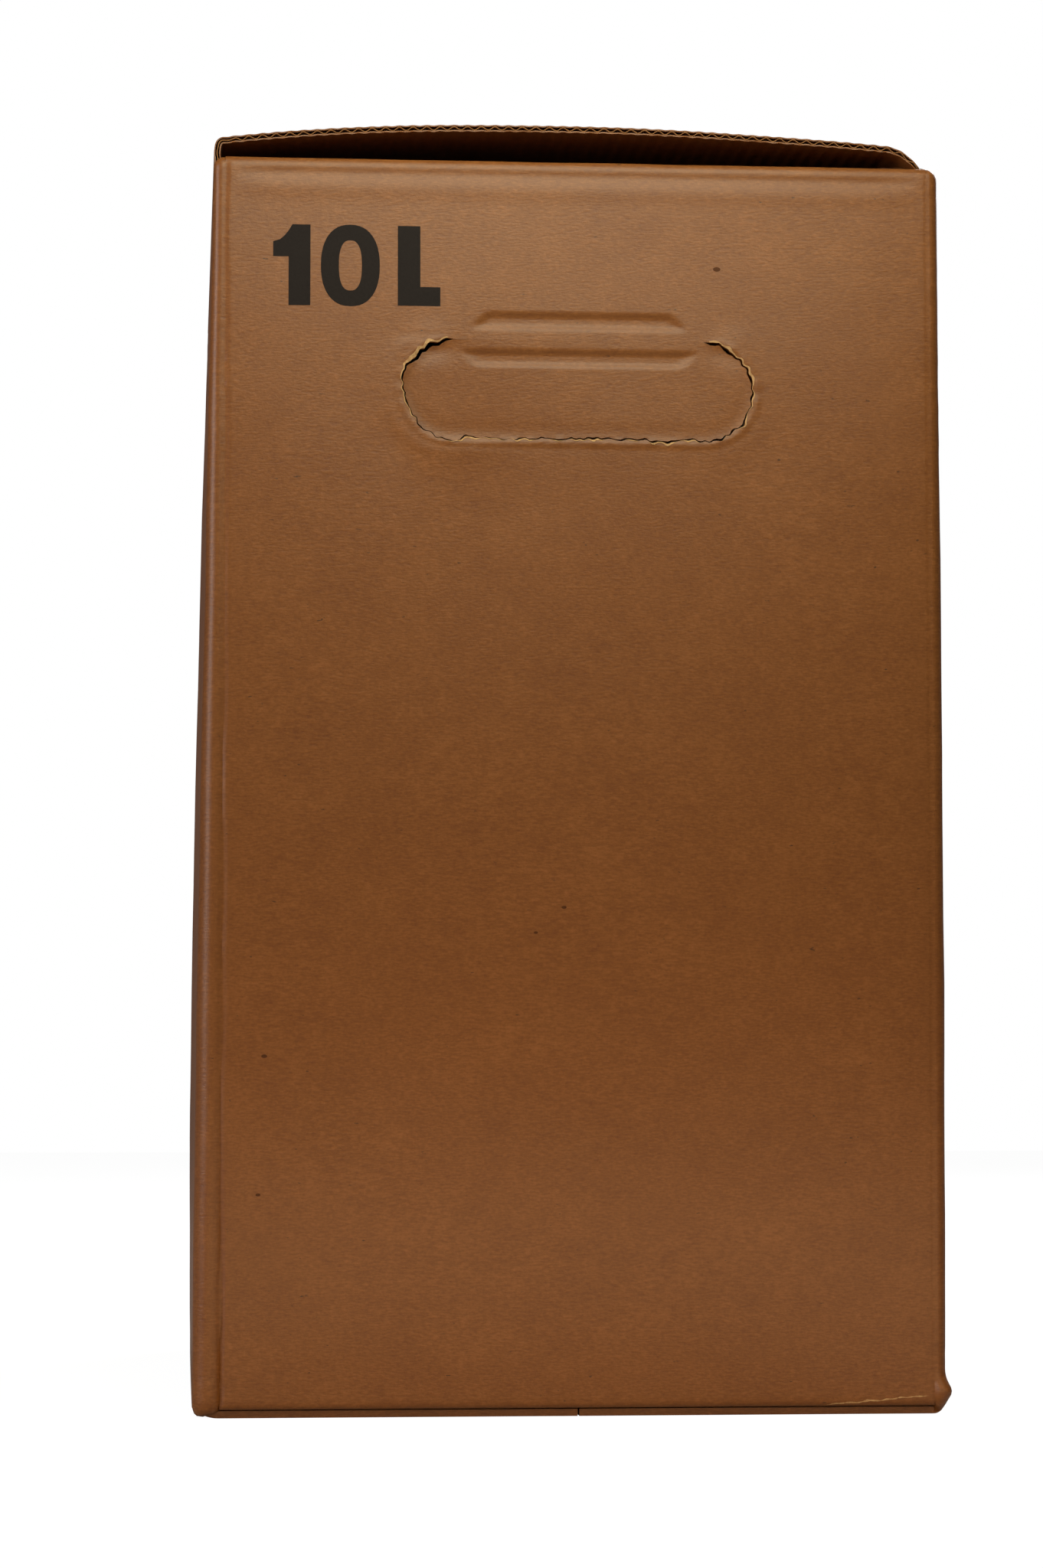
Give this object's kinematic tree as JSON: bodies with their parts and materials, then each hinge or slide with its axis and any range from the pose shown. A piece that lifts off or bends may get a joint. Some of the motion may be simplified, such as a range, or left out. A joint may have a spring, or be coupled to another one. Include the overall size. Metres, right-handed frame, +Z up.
{
  "type": "bag in box carton",
  "caption": "Sealed corrugated carton with a bowed full-overlap top flap, a push-in hand hole in each narrow panel and a filled bag with its tap inside.",
  "frame": {"origin": "middle of the carton's underside, on the surface it stands on", "axes": "+Z up; the narrow panel with the capacity mark faces -Y; the outer top flap is hinged on the -X wide panel"},
  "size_m": [0.1755, 0.245, 0.3092],
  "materials": {
    "kraft_board": "matte",
    "clear_tape": "gloss",
    "bag_film": "satin",
    "spout_plastic": "satin",
    "tap_plastic": "satin",
    "lever_plastic": "satin"
  },
  "bodies": {
    "carton": {"carton": "kraft_board", "closing_tape": "clear_tape", "filled_bag": "bag_film", "spout": "spout_plastic", "tap_body": "tap_plastic", "tap_lever": "lever_plastic"},
    "front_hand_flap": {"hand_flap_front": "kraft_board"},
    "rear_hand_flap": {"hand_flap_rear": "kraft_board"}
  },
  "joints": [
    {"name": "front_hand_flap_hinge", "type": "hinge", "parent": "carton", "child": "front_hand_flap", "pos_m": [0, -0.1208, 0.256], "axis": [1, 0, 0], "range_deg": [0, 90]},
    {"name": "rear_hand_flap_hinge", "type": "hinge", "parent": "carton", "child": "rear_hand_flap", "pos_m": [0, 0.1208, 0.256], "axis": [-1, 0, 0], "range_deg": [0, 90]}
  ]
}
